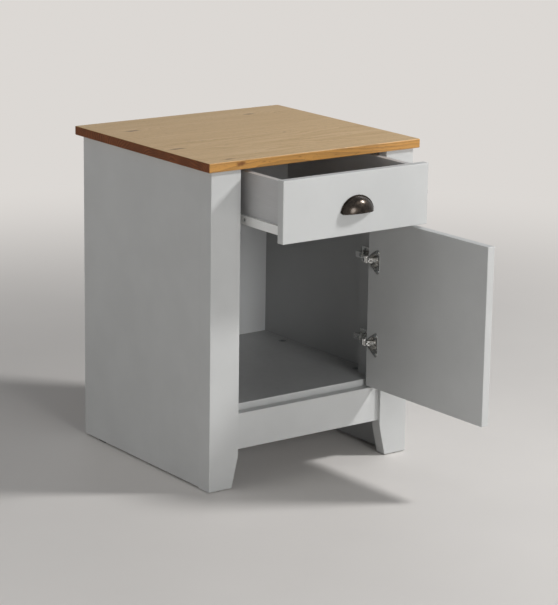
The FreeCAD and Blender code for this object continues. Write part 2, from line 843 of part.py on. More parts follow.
def make_hinge_cup(name, z):
    """Cup with its flange and the two lugs that the link sits between, then its screws."""
    mouth = Vector(x_cup, y_inner, z)
    floor = mouth - Y_AXIS * cup_depth
    low_ear, high_ear = cup_screw_seats(z)
    flange = strap([(high_ear, cup_ear_radius), (mouth, cup_radius + cup_flange_rim), (low_ear, cup_ear_radius)],
                   Y_AXIS * cup_flange_thickness)
    cup = joined([rod(cup_radius, floor, mouth), flange])
    rim = mouth + Y_AXIS * (cup_flange_thickness + overrun)
    hollow_radius = cup_radius - cup_wall
    cup = cup.cut(rod(hollow_radius, floor + Y_AXIS * cup_wall, rim))
    inside = rod(hollow_radius, floor, mouth)
    gap = link_width / 2 + hinge_side_play
    lug_end = x_door_edge - lug_start
    for low in (z + gap, z - gap - lug_thickness):
        lug = box(lug_end - lug_length, lug_end, floor.y, mouth.y, low, low + lug_thickness)
        cup = cup.fuse(lug.common(inside))
    screws = []
    for seat in cup_screw_seats(z):
        face = seat + Y_AXIS * cup_flange_thickness
        cup = cup.cut(bore(face, -Y_AXIS, screw_radius, cup_flange_thickness + overrun))
        screws.append(swung(wood_screw(face, -Y_AXIS, cup_depth + cup_flange_thickness - overrun)))
    save(name + "_hinge_cup", swung(cup.removeSplitter()))
    return screws


def link_tip():
    """Where the link's free end lies inside the cup of the open door."""
    closed = Vector(x_door_edge - link_tip_along, y_inner - link_tip_depth, 0)
    return swung(Part.Vertex(closed)).Point


def make_hinge_link(name, z):
    """Cranked link on the arm's pin, forked where it reaches into the cup."""
    eye = Vector(x_nose, y_nose, z - link_width / 2)
    bend = Vector(x_hinge_side - link_bend_inset, y_front + link_bend_setback, eye.z)
    tip = link_tip() + Z_AXIS * eye.z
    rise = Z_AXIS * link_width
    link = joined([rod(link_eye_radius, eye, eye + rise),
                   strap([(eye, link_tip_radius), (bend, link_tip_radius)], rise),
                   strap([(bend, link_tip_radius), (tip, link_tip_radius)], rise)])
    lift = Z_AXIS * (link_width - link_slot) / 2
    link = link.cut(strap([(bend + lift, link_tip_radius + overrun), (tip + lift, link_tip_radius + overrun)],
                          Z_AXIS * link_slot))
    pin_way = rod(hinge_pin_radius + running_play, eye - Z_AXIS * overrun, eye + rise + Z_AXIS * overrun)
    save(name + "_hinge_link", link.cut(pin_way))


def make_hinge_arm(name, z):
    """Cranked channel from the mounting plate to the nose over the cup."""
    half = link_width / 2 + hinge_side_play + arm_gauge
    x_foot = x_hinge_side - arm_foot_height
    x_back = x_hinge_side - arm_back_height
    y_bend = y_front + arm_bend_setback
    bend = Vector(x_back, y_bend, 0)
    slant = Vector(x_nose, y_nose, 0) - Vector(x_back, y_front + arm_heel_setback, 0)
    along = Vector(slant).normalize()
    across = Vector(along.y, -along.x, 0)
    nose = Vector(x_nose, y_nose, 0)
    nose_out = nose + across * (link_eye_radius + nose_margin / 2)
    nose_in = nose - across * link_eye_radius
    heel = Vector(x_foot, y_front + arm_heel_setback, 0)
    profile = [Vector(x_foot, y_arm_rear, 0), Vector(x_back, y_arm_rear, 0), bend, nose_out, nose_in, heel]
    low = Z_AXIS * (z - half)
    cheeks = prism([point + low for point in profile], Z_AXIS * half * 2)
    tip_start = nose + low
    cheeks = joined([cheeks, rod(link_eye_radius, tip_start, tip_start + Z_AXIS * half * 2)])
    past = along * (link_eye_radius + nose_margin)
    hollow_low = low + Z_AXIS * arm_gauge
    skin = X_AXIS * arm_gauge
    hollow = [Vector(x_hinge_side, y_arm_rear + overrun, 0), Vector(x_back, y_arm_rear + overrun, 0) + skin,
              bend + skin - Y_AXIS * arm_gauge / 2, nose_out - across * arm_gauge + past,
              nose_in - across * nose_margin + past, heel + X_AXIS * arm_foot_height - Y_AXIS * nose_margin]
    arm = cheeks.cut(prism([point + hollow_low for point in hollow], Z_AXIS * (half - arm_gauge) * 2))
    pin_low = Vector(x_nose, y_nose, z - half)
    pin_high = Vector(x_nose, y_nose, z + half)
    arm = arm.cut(rod(hinge_pin_radius + fit_play, pin_low - Z_AXIS * overrun, pin_high + Z_AXIS * overrun))
    seat = Vector(x_back, y_arm_rear - saddle_length / 2, z)
    arm = arm.cut(bore(seat, X_AXIS, machine_screw_radius, arm_screw_length))
    save(name + "_hinge_arm", arm)
    pin = rod(hinge_pin_radius, pin_low, pin_high)
    heads = [rod(hinge_pin_head_radius, pin_low - Z_AXIS * hinge_pin_head_height, pin_low),
             rod(hinge_pin_head_radius, pin_high, pin_high + Z_AXIS * hinge_pin_head_height)]
    screw = headed(seat, X_AXIS, machine_screw_radius, arm_screw_length, screw_head_radius, screw_head_height)
    return joined([pin] + heads), screw, seat


def make_hinge_plate(name, z, arm_seat):
    """Mounting plate on the cleat, with the saddle that the arm is screwed to."""
    saddle_half = link_width / 2
    x_top = x_hinge_side - arm_back_height + arm_gauge
    y_wing = y_arm_rear - saddle_length / 2
    wings = box(x_hinge_side - plate_thickness, x_hinge_side,
                y_wing - plate_width / 2, y_wing + plate_width / 2,
                z - plate_height / 2, z + plate_height / 2)
    saddle = box(x_top, x_hinge_side, y_arm_rear - saddle_length, y_arm_rear,
                 z - saddle_half, z + saddle_half)
    plate = joined([wings, saddle])
    plate = plate.cut(bore(arm_seat, X_AXIS, machine_screw_radius, arm_screw_length))
    screws = []
    for seat in plate_screw_seats(z):
        plate = plate.cut(bore(seat, X_AXIS, screw_radius, screw_length))
        screws.append(wood_screw(seat, X_AXIS))
    save(name + "_hinge_plate", plate)
    return screws


def plate_screw_seats(z):
    """Screw seats on the wings of one mounting plate."""
    y = y_arm_rear - saddle_length / 2
    return [Vector(x_hinge_side - plate_thickness, y, z + way * plate_screw_spacing / 2) for way in (-1, 1)]


def make_cleat():
    """Upright batten behind the right leg that takes the mounting plates."""
    cleat = box(x_hinge_side, -x_wall, y_board, y_arm_rear + cleat_margin, z_shelf_top, z_packer)
    for z in z_hinges:
        for seat in plate_screw_seats(z):
            cleat = cleat.cut(bore(seat, X_AXIS, screw_radius, screw_length))
    save("hinge_cleat", cleat)


def make_hinges():
    """Both hinges, with their screws and pins as groups."""
    cup_screws = []
    plate_screws = []
    pins = []
    arm_screws = []
    for name, z in zip(hinge_names, z_hinges):
        cup_screws += make_hinge_cup(name, z)
        make_hinge_link(name, z)
        pin, screw, seat = make_hinge_arm(name, z)
        pins.append(pin)
        arm_screws.append(screw)
        plate_screws += make_hinge_plate(name, z, seat)
    save("hinge_cup_screws", *cup_screws)
    save("hinge_plate_screws", *plate_screws)
    save("hinge_pins", *pins)
    save("hinge_arm_screws", *arm_screws)


os.makedirs("parts", exist_ok=True)
make_top()
make_sides()
make_linings()
make_legs()
make_rail()
make_shelf()
make_back()
make_glides()
make_top_blocks()
make_packers()
make_cabinet_runners()
make_drawer_front()
make_drawer_box()
make_drawer_runners()
make_handle()
make_door()
make_knob()
make_cleat()
make_hinges()
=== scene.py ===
"""Bedside locker: grey painted carcass, wooden top, a drawer with a cup handle and a door on cup hinges."""
import math

import bpy
from mathutils import Matrix, Vector


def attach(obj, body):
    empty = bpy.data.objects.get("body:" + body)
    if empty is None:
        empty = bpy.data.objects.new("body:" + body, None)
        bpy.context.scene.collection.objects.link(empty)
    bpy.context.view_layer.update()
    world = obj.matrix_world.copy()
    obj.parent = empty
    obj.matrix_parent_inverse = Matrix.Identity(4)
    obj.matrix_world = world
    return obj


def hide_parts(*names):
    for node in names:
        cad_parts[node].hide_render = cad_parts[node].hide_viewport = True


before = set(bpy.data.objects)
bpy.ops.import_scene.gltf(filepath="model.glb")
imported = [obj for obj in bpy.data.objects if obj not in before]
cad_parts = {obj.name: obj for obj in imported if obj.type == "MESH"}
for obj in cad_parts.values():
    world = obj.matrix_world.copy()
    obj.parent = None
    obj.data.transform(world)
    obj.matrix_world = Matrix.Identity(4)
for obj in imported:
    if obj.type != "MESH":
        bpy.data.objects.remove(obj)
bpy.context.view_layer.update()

bl_info = {
    "name": "Bedside Locker",
    "version": (1, 0, 0),
    "blender": (4, 5, 0),
    "location": "3D View > Sidebar > Locker",
    "description": "Finishes the locker's boards and fittings and sets the studio round it",
    "category": "Object",
}

MM = 0.001
MIX_FACTOR, MIX_A, MIX_B, MIX_RESULT = 0, 6, 7, 2

# The span that a noise's values mostly keep to, as a Map Range node takes it
NOISE_SPAN = {"From Min": 0.3, "From Max": 0.7}

# Knots in the top board: place and radius in mm, and how many times longer the grain draws them than wide
KNOTS = (
    (-193, -68, 575, 5.5, 3.4),
    (-166, 118, 575, 5.0, 4.0),
    (116, 157, 575, 5.0, 2.6),
    (-172, -190, 575, 4.0, 3.2),
    (-160, -209, 569, 4.0, 2.6),
    (60, -30, 575, 3.0, 2.0),
)
# Scale of a knot's pattern through the board, less than one because a knot runs on through the thickness
KNOT_THROUGH = 0.8

# How far the open door stands past square
PAST_SQUARE = math.radians(1.5)

# Screw nodes: the body that carries them, the way their shanks run, then head radius, head height and shank
# radius in mm
SCREWS = {
    "hinge_plate_screws": ("carcass", (1, 0, 0), 3.5, 1.0, 1.75),
    "hinge_arm_screws": ("carcass", (1, 0, 0), 3.5, 1.0, 2.0),
    "hinge_cup_screws": ("door", (math.cos(PAST_SQUARE), math.sin(PAST_SQUARE), 0), 3.5, 1.0, 1.75),
    "drawer_runner_screws": ("drawer", (0, 0, 1), 3.5, 1.0, 1.75),
    "top_screws": ("carcass", (0, 0, 1), 3.5, 1.0, 1.75),
    "handle_screws": ("drawer", (0, -1, 0), 4.0, 2.2, 2.0),
}
# Each screw is driven to another angle, this far on from the one before it, in radians
SCREW_TURN = 0.6
HEAD_SIDES = 32
SHANK_SIDES = 20
# Rounding of a head as a share of its height
HEAD_ROUNDING = 0.45
# A cross recess: its length and width as shares of the head's radius, and the height of its cutter as a
# share of the head's height
RECESS_LENGTH, RECESS_WIDTH, RECESS_CUTTER = 1.1, 0.22, 1.3
# How far the point of a shank draws in, as a share of the shank's radius
POINT_INSET = 0.6
SMOOTH_ANGLE = math.radians(35)
# Points of a CAD mesh nearer than this, in metres, are one point
SAME_POINT = 0.00001

# Lamps, in metres: the setting that holds the power, the place and the size
LAMPS = {
    "key_lamp": ("key_power", (1.8, -1.5, 2.1), 0.42),
    "front_lamp": ("front_power", (-0.35, -3.6, 1.2), 1.4),
    "left_lamp": ("left_power", (-2.6, 0.8, 1.1), 1.8),
}
LAMP_AIM = (0.0, -0.2, 0.3)
# The floor, in metres: its radius, and the span over which its own shading gives way to one pale tone
FLOOR_RADIUS = 24.0
FLOOR_SIDES = 96
FLOOR_FADE = {"From Min": 0.6, "From Max": 2.4}
FAR_FLOOR_STRENGTH = 0.92
# How bright the sky looks, whatever light it gives
SKY_SEEN = 0.62
# The camera: its place in metres, its turn from straight ahead, its dip and its roll in radians
CAMERA_PLACE = (-2.3208, -3.2639, 1.2870)
CAMERA_YAW, CAMERA_PITCH, CAMERA_ROLL = -0.6333, 0.2498, 0.0148
SENSOR_WIDTH = 36.0


def linear(hex_colour):
    """Linear RGBA of an sRGB hex colour."""
    parts = [int(hex_colour[i:i + 2], 16) / 255 for i in (1, 3, 5)]
    return [c / 12.92 if c <= 0.04045 else ((c + 0.055) / 1.055) ** 2.4 for c in parts] + [1.0]


def tinted(colour, factor):
    """A colour made lighter or darker, for a pattern's other stop."""
    return [min(1.0, c * factor) for c in colour[:3]] + [1.0]


def per_size(millimetres):
    """Texture scale at which one feature of a noise or cell pattern is this many millimetres across."""
    return 1000 / millimetres


def ring_scale(millimetres):
    """Wave texture scale at which the rings repeat after this many millimetres."""
    return math.pi / 10 * 1000 / millimetres


def add(tree, kind, links=None, stops=None, **settings):
    """Adds a node; links maps its sockets to values or outputs, stops fills a colour ramp."""
    made = tree.nodes.new(kind)
    for name, value in settings.items():
        setattr(made, name, value)
    for key, value in (links or {}).items():
        if isinstance(value, bpy.types.NodeSocket):
            tree.links.new(value, made.inputs[key])
        else:
            made.inputs[key].default_value = value
    if stops:
        elements = made.color_ramp.elements
        while len(elements) < len(stops):
            elements.new(0.5)
        for element, (place, colour) in zip(elements, stops):
            element.position = place
            element.color = colour
    return made


def new_material(name):
    """An empty node material, with the node whose object coordinates its patterns read."""
    material = bpy.data.materials.new(name)
    material.use_nodes = True
    tree = material.node_tree
    tree.nodes.clear()
    return material, tree, add(tree, "ShaderNodeTexCoord")


def shade(tree, links):
    """The material's shader and output."""
    shader = add(tree, "ShaderNodeBsdfPrincipled", links)
    add(tree, "ShaderNodeOutputMaterial", {"Surface": shader.outputs["BSDF"]})


# Sprayed satin polyurethane over fibreboard: an even light grey, slightly clouded where the coats overlap,
# with the faint orange peel of a spray gun in its sheen
def satin_grey_paint(colours):
    material, tree, coords = new_material("satin_grey_paint")
    place = coords.outputs["Object"]
    cloud = add(tree, "ShaderNodeTexNoise", {"Vector": place, "Scale": per_size(90), "Detail": 3.0})
    tone = add(tree, "ShaderNodeValToRGB", {"Fac": cloud.outputs["Fac"]},
               stops=[(0.35, tinted(colours.paint, 0.97)), (0.65, tinted(colours.paint, 1.02))])
    sheen = add(tree, "ShaderNodeTexNoise", {"Vector": place, "Scale": per_size(30), "Detail": 4.0})
    gloss = add(tree, "ShaderNodeMapRange", {
        "Value": sheen.outputs["Fac"], **NOISE_SPAN, "To Min": 0.40, "To Max": 0.50})
    # Real orange peel is under 1 mm; 2.5 mm is the finest that still shows here
    peel = add(tree, "ShaderNodeTexNoise", {"Vector": place, "Scale": per_size(2.5), "Detail": 1.0})
    bump = add(tree, "ShaderNodeBump", {
        "Height": peel.outputs["Fac"], "Strength": 0.06, "Distance": 0.3 * MM})
    shade(tree, {"Base Color": tone.outputs["Color"], "Roughness": gloss.outputs["Result"],
                 "Normal": bump.outputs["Normal"], "IOR": 1.5})
    return material


# Melamine faced chipboard inside the cupboard: a darker grey than the paint, the darkening painted shade,
# with a fine pressed texture, its front edges banded in the grey of the paint
def grey_melamine(colours):
    material, tree, coords = new_material("grey_melamine")
    place = coords.outputs["Object"]
    cloud = add(tree, "ShaderNodeTexNoise", {"Vector": place, "Scale": per_size(120), "Detail": 2.0})
    tone = add(tree, "ShaderNodeValToRGB", {"Fac": cloud.outputs["Fac"]},
               stops=[(0.35, tinted(colours.inside, 0.97)), (0.65, tinted(colours.inside, 1.02))])
    facing = add(tree, "ShaderNodeSeparateXYZ", {"Vector": coords.outputs["Normal"]})
    banded = add(tree, "ShaderNodeMapRange", {
        "Value": facing.outputs["Y"], "From Min": -0.3, "From Max": -0.6})
    edged = add(tree, "ShaderNodeMix", {
        MIX_FACTOR: banded.outputs["Result"], MIX_A: tone.outputs["Color"], MIX_B: colours.paint[:]},
        data_type="RGBA")
    sheen = add(tree, "ShaderNodeTexNoise", {"Vector": place, "Scale": per_size(12), "Detail": 3.0})
    gloss = add(tree, "ShaderNodeMapRange", {
        "Value": sheen.outputs["Fac"], **NOISE_SPAN, "To Min": 0.36, "To Max": 0.46})
    press = add(tree, "ShaderNodeTexVoronoi", {"Vector": place, "Scale": per_size(1.8)},
                feature="SMOOTH_F1")
    bump = add(tree, "ShaderNodeBump", {
        "Height": press.outputs["Distance"], "Strength": 0.05, "Distance": 0.2 * MM})
    shade(tree, {"Base Color": edged.outputs[MIX_RESULT], "Roughness": gloss.outputs["Result"],
                 "Normal": bump.outputs["Normal"], "IOR": 1.5})
    return material


# Thin hardboard back: grey printed face inside, lightened as painted light; bare brown pressed fibre
# outside
def printed_hardboard(colours):
    material, tree, coords = new_material("printed_hardboard")
    place = coords.outputs["Object"]
    facing = add(tree, "ShaderNodeSeparateXYZ", {"Vector": coords.outputs["Normal"]})
    rear = add(tree, "ShaderNodeMapRange", {"Value": facing.outputs["Y"], "From Min": 0.3, "From Max": 0.6})
    fibre = add(tree, "ShaderNodeTexNoise", {
        "Vector": place, "Scale": per_size(3), "Detail": 6.0, "Roughness": 0.7})
    brown = add(tree, "ShaderNodeValToRGB", {"Fac": fibre.outputs["Fac"]},
                stops=[(0.3, linear("#5E4630")), (0.5, linear("#7A5D41")), (0.72, linear("#94795A"))])
    cloud = add(tree, "ShaderNodeTexNoise", {"Vector": place, "Scale": per_size(110), "Detail": 3.0})
    # The print is 1.56 to 1.64 times the inside grey: painted light standing for the lamps on the back
    # panel
    painted_lit_print = add(tree, "ShaderNodeValToRGB", {"Fac": cloud.outputs["Fac"]},
                  stops=[(0.35, tinted(colours.inside, 1.56)), (0.65, tinted(colours.inside, 1.64))])
    tone = add(tree, "ShaderNodeMix", {
        MIX_FACTOR: rear.outputs["Result"], MIX_A: painted_lit_print.outputs["Color"], MIX_B: brown.outputs["Color"]},
        data_type="RGBA")
    gloss = add(tree, "ShaderNodeMapRange", {
        "Value": rear.outputs["Result"], "To Min": 0.42, "To Max": 0.75})
    bump = add(tree, "ShaderNodeBump", {
        "Height": fibre.outputs["Fac"], "Strength": 0.08, "Distance": 0.3 * MM})
    shade(tree, {"Base Color": tone.outputs[MIX_RESULT], "Roughness": gloss.outputs["Result"],
                 "Normal": bump.outputs["Normal"], "IOR": 1.5})
    return material


# Foil wrapped fibreboard of the drawer box: a plain grey foil with a fine long emboss along the board
def foil_drawer_board(colours):
    material, tree, coords = new_material("foil_drawer_board")
    long = add(tree, "ShaderNodeMapping", {"Vector": coords.outputs["Object"], "Scale": (1.0, 0.06, 1.0)})
    emboss = add(tree, "ShaderNodeTexNoise", {
        "Vector": long.outputs["Vector"], "Scale": per_size(2.2), "Detail": 4.0})
    tone = add(tree, "ShaderNodeValToRGB", {"Fac": emboss.outputs["Fac"]},
               stops=[(0.3, tinted(colours.drawer, 0.96)), (0.7, tinted(colours.drawer, 1.02))])
    bump = add(tree, "ShaderNodeBump", {
        "Height": emboss.outputs["Fac"], "Strength": 0.10, "Distance": 0.2 * MM})
    gloss = add(tree, "ShaderNodeMapRange", {
        "Value": emboss.outputs["Fac"], **NOISE_SPAN, "To Min": 0.38, "To Max": 0.5})
    shade(tree, {"Base Color": tone.outputs["Color"], "Roughness": gloss.outputs["Result"],
                 "Normal": bump.outputs["Normal"], "IOR": 1.5})
    return material


def oak_knots(tree, place):
    """How much of a knot each place is, from 0 to 1, and how far the rings there are pushed aside."""
    ragged = add(tree, "ShaderNodeTexNoise", {"Vector": place, "Scale": per_size(7), "Detail": 3.0})
    rag = add(tree, "ShaderNodeVectorMath", {0: ragged.outputs["Color"], 1: (0.5, 0.5, 0.5)},
              operation="SUBTRACT")
    moved = add(tree, "ShaderNodeVectorMath", {
        0: rag.outputs["Vector"], 1: (0.016, 0.006, 0.006), 2: place}, operation="MULTIPLY_ADD")
    knot, push = 0.0, 0.0
    for x, y, z, radius, drawn_out in KNOTS:
        local = add(tree, "ShaderNodeMapping", {
            "Vector": moved.outputs["Vector"], "Scale": (1 / drawn_out, 1.0, KNOT_THROUGH),
            "Location": (-x / drawn_out * MM, -y * MM, -z * KNOT_THROUGH * MM)})
        away = add(tree, "ShaderNodeVectorMath", {0: local.outputs["Vector"]}, operation="LENGTH")
        core = add(tree, "ShaderNodeMapRange", {
            "Value": away.outputs["Value"], "From Min": 1.2 * radius * MM, "From Max": 0.25 * radius * MM},
            interpolation_type="SMOOTHSTEP")
        bend = add(tree, "ShaderNodeMapRange", {
            "Value": away.outputs["Value"], "From Min": 5 * radius * MM, "From Max": 0.0,
            "To Max": 1.6 * radius * MM}, interpolation_type="SMOOTHERSTEP")
        deepest = add(tree, "ShaderNodeMath", {0: knot, 1: core.outputs["Result"]}, operation="MAXIMUM")
        total = add(tree, "ShaderNodeMath", {0: push, 1: bend.outputs["Result"]}, operation="ADD")
        knot, push = deepest.outputs["Value"], total.outputs["Value"]
    return knot, push


def oak_grain(tree, place, push):
    """The oak's figure of year rings and streaks, its fibres and its pores, bent round the knots."""
    aside = add(tree, "ShaderNodeCombineXYZ", {"Y": push, "Z": push})
    # Year rings about a pith below the board, swaying slowly along the grain
    lengthwise = add(tree, "ShaderNodeMapping", {"Vector": place, "Scale": (0.10, 1.0, 1.0)})
    sway = add(tree, "ShaderNodeTexNoise", {
        "Vector": lengthwise.outputs["Vector"], "Scale": per_size(60), "Detail": 2.0})
    swung = add(tree, "ShaderNodeVectorMath", {0: sway.outputs["Color"], 1: (0.0, 0.05, 0.05), 2: place},
                operation="MULTIPLY_ADD")
    bent = add(tree, "ShaderNodeVectorMath", {0: swung.outputs["Vector"], 1: aside.outputs["Vector"]},
               operation="ADD")
    pith = add(tree, "ShaderNodeMapping", {
        "Vector": bent.outputs["Vector"], "Location": (0.0, 0.07, -0.47)})
    rings = add(tree, "ShaderNodeTexWave", {
        "Vector": pith.outputs["Vector"], "Scale": ring_scale(4.5), "Distortion": 1.2, "Detail": 2.0,
        "Detail Scale": 0.6}, wave_type="RINGS", rings_direction="X", wave_profile="SAW")
    # Fibres and pores drawn out along the grain
    drawn = add(tree, "ShaderNodeMapping", {"Vector": bent.outputs["Vector"], "Scale": (0.035, 1.0, 1.0)})
    fibres = add(tree, "ShaderNodeTexNoise", {
        "Vector": drawn.outputs["Vector"], "Scale": per_size(1.6), "Detail": 5.0, "Roughness": 0.65})
    # Pores are 0.2 mm wide in the wood; 1.1 mm is the finest that shows here
    short = add(tree, "ShaderNodeMapping", {"Vector": bent.outputs["Vector"], "Scale": (0.10, 1.0, 1.0)})
    specks = add(tree, "ShaderNodeTexNoise", {
        "Vector": short.outputs["Vector"], "Scale": per_size(1.1), "Detail": 2.0})
    pores = add(tree, "ShaderNodeMapRange", {
        "Value": specks.outputs["Fac"], "From Min": 0.60, "From Max": 0.72})
    broad = add(tree, "ShaderNodeTexNoise", {
        "Vector": lengthwise.outputs["Vector"], "Scale": per_size(26), "Detail": 3.0})
    late = add(tree, "ShaderNodeMath", {0: rings.outputs["Fac"], 1: 0.42}, operation="MULTIPLY")
    streak = add(tree, "ShaderNodeMath", {0: fibres.outputs["Fac"], 1: 0.55, 2: late.outputs["Value"]},
                 operation="MULTIPLY_ADD")
    figure = add(tree, "ShaderNodeMath", {0: broad.outputs["Fac"], 1: 0.45, 2: streak.outputs["Value"]},
                 operation="MULTIPLY_ADD")
    return figure.outputs["Value"], fibres.outputs["Fac"], pores.outputs["Result"]


# Oiled oak with knots, sawn so that its year rings run as long streaks over the top and front and as arcs
# on the ends: a tan face, honey edges, darker thirsty end grain, fine open pores and a low satin gloss
def oiled_knotty_oak(colours):
    material, tree, coords = new_material("oiled_knotty_oak")
    place = coords.outputs["Object"]
    facing = add(tree, "ShaderNodeSeparateXYZ", {"Vector": coords.outputs["Normal"]})
    upward = add(tree, "ShaderNodeMapRange", {
        "Value": facing.outputs["Z"], "From Min": 0.5, "From Max": 0.85})
    side = add(tree, "ShaderNodeMath", {0: facing.outputs["X"]}, operation="ABSOLUTE")
    on_end = add(tree, "ShaderNodeMapRange", {
        "Value": side.outputs["Value"], "From Min": 0.5, "From Max": 0.85})
    # Each knot is a dark oval, and the rings bend round it
    knot, push = oak_knots(tree, place)
    figure, fibres, pores = oak_grain(tree, place, push)
    tones = []
    for colour, light, dark in ((colours.wood_face, 1.07, 0.86), (colours.wood_edge, 1.22, 0.66),
                                (colours.wood_end, 1.9, 0.40)):
        ramp = add(tree, "ShaderNodeValToRGB", {"Fac": figure},
                   stops=[(0.38, tinted(colour, light)), (0.68, colour[:]), (1.0, tinted(colour, dark))])
        tones.append(ramp.outputs["Color"])
    face_tone, edge_tone, end_tone = tones
    edges = add(tree, "ShaderNodeMix", {
        MIX_FACTOR: on_end.outputs["Result"], MIX_A: edge_tone, MIX_B: end_tone}, data_type="RGBA")
    board = add(tree, "ShaderNodeMix", {
        MIX_FACTOR: upward.outputs["Result"], MIX_A: edges.outputs[MIX_RESULT], MIX_B: face_tone},
        data_type="RGBA")
    open_pore = add(tree, "ShaderNodeMath", {0: pores, 1: 0.42}, operation="MULTIPLY")
    pored = add(tree, "ShaderNodeMix", {
        MIX_FACTOR: open_pore.outputs["Value"], MIX_A: board.outputs[MIX_RESULT],
        MIX_B: tinted(colours.wood_end, 0.55)}, data_type="RGBA")
    stained = add(tree, "ShaderNodeMath", {0: knot, 1: 0.85}, operation="MULTIPLY")
    tone = add(tree, "ShaderNodeMix", {
        MIX_FACTOR: stained.outputs["Value"], MIX_A: pored.outputs[MIX_RESULT], MIX_B: linear("#6B3D1A")},
        data_type="RGBA")
    relief = add(tree, "ShaderNodeMath", {0: pores, 1: -0.7, 2: fibres}, operation="MULTIPLY_ADD")
    bump = add(tree, "ShaderNodeBump", {
        "Height": relief.outputs["Value"], "Strength": 0.14, "Distance": 0.25 * MM})
    gloss = add(tree, "ShaderNodeMapRange", {
        "Value": figure, "From Min": 0.4, "From Max": 1.0, "To Min": 0.36, "To Max": 0.52})
    # End grain drinks the oil and stays matt
    thirsty = add(tree, "ShaderNodeMath", {
        0: on_end.outputs["Result"], 1: 0.35, 2: gloss.outputs["Result"]}, operation="MULTIPLY_ADD")
    shade(tree, {"Base Color": tone.outputs[MIX_RESULT], "Roughness": thirsty.outputs["Value"],
                 "Normal": bump.outputs["Normal"], "IOR": 1.5})
    return material


# Rolled steel under white epoxy powder: a bright plain white with the pebbled skin of the baked powder
def white_epoxy_steel(colours):
    material, tree, coords = new_material("white_epoxy_steel")
    place = coords.outputs["Object"]
    pebble = add(tree, "ShaderNodeTexNoise", {"Vector": place, "Scale": per_size(1.4), "Detail": 2.0})
    tone = add(tree, "ShaderNodeValToRGB", {"Fac": pebble.outputs["Fac"]},
               stops=[(0.3, tinted(colours.runner, 0.95)), (0.7, colours.runner[:])])
    gloss = add(tree, "ShaderNodeMapRange", {
        "Value": pebble.outputs["Fac"], **NOISE_SPAN, "To Min": 0.28, "To Max": 0.42})
    bump = add(tree, "ShaderNodeBump", {
        "Height": pebble.outputs["Fac"], "Strength": 0.12, "Distance": 0.15 * MM})
    shade(tree, {"Base Color": tone.outputs["Color"], "Roughness": gloss.outputs["Result"],
                 "Normal": bump.outputs["Normal"], "IOR": 1.55})
    return material


# Moulded natural nylon: milky off-white, a little light passing into it, with a fine matt mould grain
def moulded_nylon(colours):
    material, tree, coords = new_material("moulded_nylon")
    place = coords.outputs["Object"]
    grain = add(tree, "ShaderNodeTexNoise", {"Vector": place, "Scale": per_size(0.9), "Detail": 2.0})
    tone = add(tree, "ShaderNodeValToRGB", {"Fac": grain.outputs["Fac"]},
               stops=[(0.3, linear("#D3D0C4")), (0.7, linear("#E3E0D6"))])
    bump = add(tree, "ShaderNodeBump", {
        "Height": grain.outputs["Fac"], "Strength": 0.12, "Distance": 0.1 * MM})
    shade(tree, {"Base Color": tone.outputs["Color"], "Roughness": 0.45, "Normal": bump.outputs["Normal"],
                 "IOR": 1.53, "Subsurface Weight": 0.15, "Subsurface Radius": (0.002, 0.0018, 0.0015)})
    return material


# Stamped steel with satin nickel plate: a warm bright metal, dulled in streaks along the stamping
def satin_nickel(colours):
    material, tree, coords = new_material("satin_nickel")
    drawn = add(tree, "ShaderNodeMapping", {"Vector": coords.outputs["Object"], "Scale": (0.12, 0.12, 1.0)})
    streaks = add(tree, "ShaderNodeTexNoise", {
        "Vector": drawn.outputs["Vector"], "Scale": per_size(0.8), "Detail": 3.0})
    tone = add(tree, "ShaderNodeValToRGB", {"Fac": streaks.outputs["Fac"]},
               stops=[(0.3, tinted(colours.nickel, 0.9)), (0.7, colours.nickel[:])])
    gloss = add(tree, "ShaderNodeMapRange", {
        "Value": streaks.outputs["Fac"], **NOISE_SPAN, "To Min": 0.18, "To Max": 0.30})
    bump = add(tree, "ShaderNodeBump", {
        "Height": streaks.outputs["Fac"], "Strength": 0.05, "Distance": 0.1 * MM})
    shade(tree, {"Base Color": tone.outputs["Color"], "Metallic": 1.0, "Roughness": gloss.outputs["Result"],
                 "Normal": bump.outputs["Normal"]})
    return material


# Bright zinc plate on screws and pins: pale blue grey, cloudy where the plate is thicker
def zinc_plate(colours):
    material, tree, coords = new_material("zinc_plate")
    place = coords.outputs["Object"]
    cloud = add(tree, "ShaderNodeTexNoise", {"Vector": place, "Scale": per_size(2.5), "Detail": 3.0})
    tone = add(tree, "ShaderNodeValToRGB", {"Fac": cloud.outputs["Fac"]},
               stops=[(0.3, linear("#A9ADB0")), (0.5, linear("#BFC2C3")), (0.7, linear("#C9C6B8"))])
    gloss = add(tree, "ShaderNodeMapRange", {
        "Value": cloud.outputs["Fac"], **NOISE_SPAN, "To Min": 0.26, "To Max": 0.42})
    shade(tree, {"Base Color": tone.outputs["Color"], "Metallic": 1.0,
                 "Roughness": gloss.outputs["Result"]})
    return material


# Die cast zinc of the cams: a duller grey with the sandy skin of the mould
def die_cast_zinc(colours):
    material, tree, coords = new_material("die_cast_zinc")
    place = coords.outputs["Object"]
    sand = add(tree, "ShaderNodeTexNoise", {"Vector": place, "Scale": per_size(0.9), "Detail": 4.0})
    tone = add(tree, "ShaderNodeValToRGB", {"Fac": sand.outputs["Fac"]},
               stops=[(0.3, linear("#7F8284")), (0.7, linear("#A2A4A5"))])
    bump = add(tree, "ShaderNodeBump", {
        "Height": sand.outputs["Fac"], "Strength": 0.25, "Distance": 0.1 * MM})
    shade(tree, {"Base Color": tone.outputs["Color"], "Metallic": 1.0, "Roughness": 0.45,
                 "Normal": bump.outputs["Normal"]})
    return material


